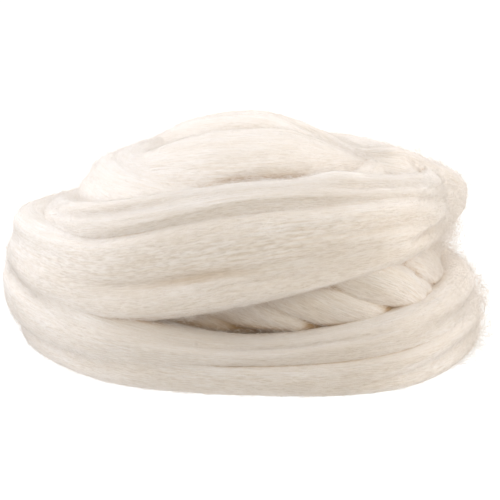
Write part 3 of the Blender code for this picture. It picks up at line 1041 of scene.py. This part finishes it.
def shared_wool(name, make):
    """A material that several pieces share, made when the first of them needs it."""
    return bpy.data.materials.get(name) or make(name, bpy.context.scene.roving_wool)


def stage_floor(stage):
    """A wide, plain, pale floor."""
    half = stage.floor_size / 2
    corners = np.array([(-half, -half, 0), (half, -half, 0), (half, half, 0), (-half, half, 0)])
    mesh = new_mesh("floor", corners, np.array([(0, 1, 2, 3)]), smooth=False)
    material = bpy.data.materials.new("pale_floor")
    _, shader = shader_tree(material)
    shader.inputs["Base Color"].default_value = (*stage.floor_colour, 1.0)
    shader.inputs["Roughness"].default_value = FLOOR_ROUGHNESS
    shader.inputs["Specular IOR Level"].default_value = FLOOR_SHINE
    shader.inputs["Emission Color"].default_value = (*GLOW_COLOUR, 1.0)
    shader.inputs["Emission Strength"].default_value = stage.floor_glow
    mesh.materials.append(material)
    floor = bpy.data.objects.new("floor", mesh)
    bpy.context.scene.collection.objects.link(floor)
    floor.visible_diffuse = False  # the sky lights the wool from below, in place of its glow


def soft_box(light, stage):
    """A square soft light that looks at the coil."""
    lamp = bpy.data.lights.new(light.name, "AREA")
    lamp.shape = "SQUARE"
    lamp.size = light.size
    lamp.energy = light.power * stage.lamp_power
    lamp.color = light.colour
    box = bpy.data.objects.new(light.name, lamp)
    bpy.context.scene.collection.objects.link(box)
    place = Vector((light.x, light.y, light.z))
    box.location = place
    box.rotation_mode = "QUATERNION"
    box.rotation_quaternion = (Vector(stage.target) - place).to_track_quat("-Z", "Y")
    box.visible_camera = False


def stage_sky(stage):
    """Soft light from all round: the table's below, the walls' and the ceiling's."""
    world = bpy.data.worlds.new("studio")
    bpy.context.scene.world = world
    world.use_nodes = True
    tree = world.node_tree
    direction = tree.nodes.new("ShaderNodeTexCoord")
    parts = tree.nodes.new("ShaderNodeSeparateXYZ")
    tree.links.new(direction.outputs["Generated"], parts.inputs["Vector"])
    sides = ranged(tree, parts.outputs["Z"], *TABLE_TO_SIDES)
    top = ranged(tree, parts.outputs["Z"], *SIDES_TO_TOP)
    colour = blended(tree, sides, stage.table_light, stage.side_light)
    colour = blended(tree, top, colour, stage.top_light)
    background = tree.nodes["Background"]
    background.inputs["Strength"].default_value = stage.sky
    tree.links.new(colour, background.inputs["Color"])


def stage_camera(stage):
    """The camera, at a low angle in front of the coil."""
    camera = bpy.data.cameras.new("camera")
    camera.sensor_width = stage.sensor
    camera.lens = stage.lens
    camera.clip_start = NEAREST
    holder = bpy.data.objects.new("camera", camera)
    bpy.context.scene.collection.objects.link(holder)
    back = Vector((0.0, -math.cos(stage.elevation), math.sin(stage.elevation)))
    holder.location = Vector(stage.target) + back * stage.distance
    holder.rotation_mode = "QUATERNION"
    holder.rotation_quaternion = (-back).to_track_quat("-Z", "Y")
    bpy.context.scene.camera = holder


class RovingBand(bpy.types.PropertyGroup):
    """Fineness of the band."""

    step: FloatProperty(
        name="Step",
        description="Length of band between two rings of points",
        default=0.002,
        unit="LENGTH",
    )
    outer_points: IntProperty(
        name="Outer points", description="Points across the outer face", default=64
    )
    inner_points: IntProperty(
        name="Inner points", description="Points across the inner face", default=16
    )
    streaks: FloatProperty(
        name="Streaks", description="Height of the fibre streaks", default=1.0, subtype="FACTOR"
    )
    seed: IntProperty(name="Seed", description="Start of the random draws", default=7)


class RovingWool(bpy.types.PropertyGroup):
    """Colours and softness of the wool, and the painted shade and glow of its hollows and between its
    fibres.
    """

    cream: FloatVectorProperty(
        name="Cream",
        description="Lightest wool",
        default=(0.965, 0.935, 0.915),
        subtype="COLOR",
    )
    shade: FloatVectorProperty(
        name="Shade", description="Darker streaks", default=(0.865, 0.80, 0.73), subtype="COLOR"
    )
    # Painted shade in the spaces between fibres.
    gap_shade: FloatVectorProperty(
        name="Gaps",
        description="Share of the light left between fibres",
        default=(0.85, 0.825, 0.795),
        subtype="COLOR",
    )
    # Colour of the painted glow in the deepest hollows, an emission in place of light through the
    # wool.
    through: FloatVectorProperty(
        name="Light through",
        description="Light that reaches the deepest folds through the wool",
        default=(0.025, 0.020, 0.014),
        subtype="COLOR",
    )
    # Painted shade in the creases.
    crease: FloatVectorProperty(
        name="Crease", description="Wool deep in a fold", default=(0.62, 0.475, 0.33), subtype="COLOR"
    )
    # Darkest painted shade, at the bottom of a crease.
    bottom: FloatVectorProperty(
        name="Bottom",
        description="Wool at the bottom of a fold",
        default=(0.44, 0.30, 0.18),
        subtype="COLOR",
    )
    roughness: FloatProperty(
        name="Roughness", description="Roughness of the fibres", default=0.9, subtype="FACTOR"
    )
    shine: FloatProperty(
        name="Shine", description="Plain reflection of the fibres", default=0.2, subtype="FACTOR"
    )
    sheen: FloatProperty(
        name="Sheen", description="Light caught in the fuzz", default=1.0, subtype="FACTOR"
    )
    sheen_roughness: FloatProperty(
        name="Sheen roughness", description="Spread of that light", default=0.4, subtype="FACTOR"
    )
    # Shelter where the painted crease shade starts, and where it is deepest.
    crease_from: FloatProperty(
        name="Crease from", description="Shelter where creases start", default=0.42, subtype="FACTOR"
    )
    crease_to: FloatProperty(
        name="Crease to",
        description="Shelter where creases are deepest",
        default=0.90,
        subtype="FACTOR",
    )


class RovingStage(bpy.types.PropertyGroup):
    """Floor, lights and camera."""

    floor_size: FloatProperty(
        name="Floor", description="Width of the floor", default=12.0, unit="LENGTH"
    )
    floor_colour: FloatVectorProperty(
        name="Floor colour",
        description="Colour of the floor",
        default=(0.30, 0.30, 0.30),
        subtype="COLOR",
    )
    floor_glow: FloatProperty(
        name="Floor glow", description="Light that comes through the floor", default=1.0
    )
    sky: FloatProperty(name="Sky", description="Strength of the light all round", default=1.0)
    table_light: FloatVectorProperty(
        name="Table light",
        description="Light that the pale table sends up",
        default=(1.22, 1.20, 1.13),
        subtype="COLOR",
    )
    side_light: FloatVectorProperty(
        name="Side light",
        description="Light from the walls",
        default=(0.420, 0.365, 0.315),
        subtype="COLOR",
    )
    top_light: FloatVectorProperty(
        name="Top light",
        description="Light from the ceiling",
        default=(0.0, 0.0, 0.0),
        subtype="COLOR",
    )
    lamp_power: FloatProperty(
        name="Lamps", description="Strength of all the soft lights", default=1.07, subtype="FACTOR"
    )
    distance: FloatProperty(
        name="Distance", description="Camera to the coil", default=0.8, unit="LENGTH"
    )
    elevation: FloatProperty(
        name="Elevation",
        description="Camera above the horizon",
        default=math.radians(15.0),
        subtype="ANGLE",
    )
    target: FloatVectorProperty(
        name="Target",
        description="Place that the camera looks at",
        default=(0.0045, 0.0, 0.0445),
        subtype="XYZ",
    )
    lens: FloatProperty(name="Lens", description="Focal length in millimetres", default=115.2)
    sensor: FloatProperty(name="Sensor", description="Sensor width in millimetres", default=36.0)


def band_of(sizes):
    """The wound band, worked out once for all the operators."""
    points = (sizes.outer_points, sizes.inner_points)
    return wind_band(sizes.step, *points, sizes.streaks, sizes.seed)


def lay_layers(context, layers):
    """Makes some of the fibre layers over the band."""
    sizes = context.scene.roving_band
    material = shared_wool(FIBRE_WOOL, single_fibres)
    band = band_of(sizes)
    for layer in layers:
        fibre_piece(band, sizes.seed, layer, material)


class ROVING_OT_wind_band(bpy.types.Operator):
    """Winds the combed band into its coil"""

    bl_idname = "roving.wind_band"
    bl_label = "Wind the band"

    def execute(self, context):
        material = shared_wool(BAND_WOOL, combed_wool)
        band = band_of(context.scene.roving_band)
        for run in RUNS:
            band_run(band, run, material)
        return {"FINISHED"}


class ROVING_OT_fill_core(bpy.types.Operator):
    """Fills the inside of the coil with loose wool"""

    bl_idname = "roving.fill_core"
    bl_label = "Fill the core"

    def execute(self, context):
        material = shared_wool(BAND_WOOL, combed_wool)
        core_piece(context.scene.roving_band.seed, material)
        return {"FINISHED"}


class ROVING_OT_lay_fibres(bpy.types.Operator):
    """Lays long fibres along the band where it shows"""

    bl_idname = "roving.lay_fibres"
    bl_label = "Lay the fibres"

    def execute(self, context):
        lay_layers(context, LAYERS[:HAZE_FROM])
        return {"FINISHED"}


class ROVING_OT_raise_haze(bpy.types.Operator):
    """Raises a haze of short fibres and flyaways off the band"""

    bl_idname = "roving.raise_haze"
    bl_label = "Raise the haze"

    def execute(self, context):
        lay_layers(context, LAYERS[HAZE_FROM:])
        return {"FINISHED"}


class ROVING_OT_set_stage(bpy.types.Operator):
    """Sets the floor, the lights and the camera"""

    bl_idname = "roving.set_stage"
    bl_label = "Set the stage"

    def execute(self, context):
        stage = context.scene.roving_stage
        stage_floor(stage)
        stage_sky(stage)
        for light in LIGHTS:
            soft_box(light, stage)
        stage_camera(stage)
        context.scene.view_settings.view_transform = "Standard"
        return {"FINISHED"}


class ROVING_PT_panel(bpy.types.Panel):
    """Lists the steps that make the roving"""

    bl_label = "Wool roving"
    bl_space_type = "VIEW_3D"
    bl_region_type = "UI"
    bl_category = "Roving"

    def draw(self, context):
        for group in ("roving_band", "roving_wool", "roving_stage"):
            values = getattr(context.scene, group)
            box = self.layout.box()
            for name in values.bl_rna.properties.keys():
                if name not in ("rna_type", "name"):
                    box.prop(values, name)
        for operator in STEPS:
            self.layout.operator(operator.bl_idname)


GROUPS = {"roving_band": RovingBand, "roving_wool": RovingWool, "roving_stage": RovingStage}
STEPS = (
    ROVING_OT_wind_band,
    ROVING_OT_fill_core,
    ROVING_OT_lay_fibres,
    ROVING_OT_raise_haze,
    ROVING_OT_set_stage,
)


def register():
    for name, group in GROUPS.items():
        bpy.utils.register_class(group)
        setattr(bpy.types.Scene, name, PointerProperty(type=group))
    for shown in (*STEPS, ROVING_PT_panel):
        bpy.utils.register_class(shown)


def unregister():
    for shown in (ROVING_PT_panel, *reversed(STEPS)):
        bpy.utils.unregister_class(shown)
    for name, group in reversed(GROUPS.items()):
        delattr(bpy.types.Scene, name)
        bpy.utils.unregister_class(group)


def main():
    register()
    bpy.ops.roving.wind_band()
    bpy.ops.roving.fill_core()
    bpy.ops.roving.lay_fibres()
    bpy.ops.roving.raise_haze()
    bpy.ops.roving.set_stage()


if __name__ == "__main__":
    main()
